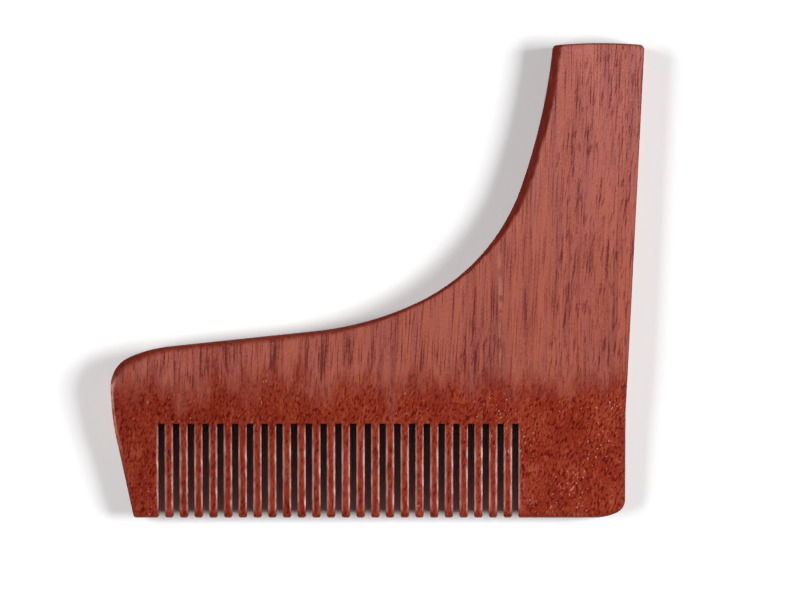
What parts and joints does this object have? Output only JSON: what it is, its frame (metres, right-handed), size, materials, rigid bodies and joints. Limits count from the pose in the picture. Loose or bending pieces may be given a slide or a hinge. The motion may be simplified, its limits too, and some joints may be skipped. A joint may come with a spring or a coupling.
{
  "type": "beard comb",
  "caption": "Wooden beard comb with a row of sawn teeth, a curved shaping edge and a flat handle, cut from one board.",
  "frame": {"origin": "under the middle of the comb's box, on the back face that it lies on", "axes": "+X along the row of teeth from the guard end to the heel, +Y along the handle away from the teeth, +Z out of the front face through the thickness"},
  "size_m": [0.1084, 0.0966, 0.008],
  "materials": {
    "wood": "satin, sanded and oiled red sandalwood, darker where the teeth and edges are ground"
  },
  "bodies": {
    "root": {"comb_body": "wood"}
  },
  "joints": []
}
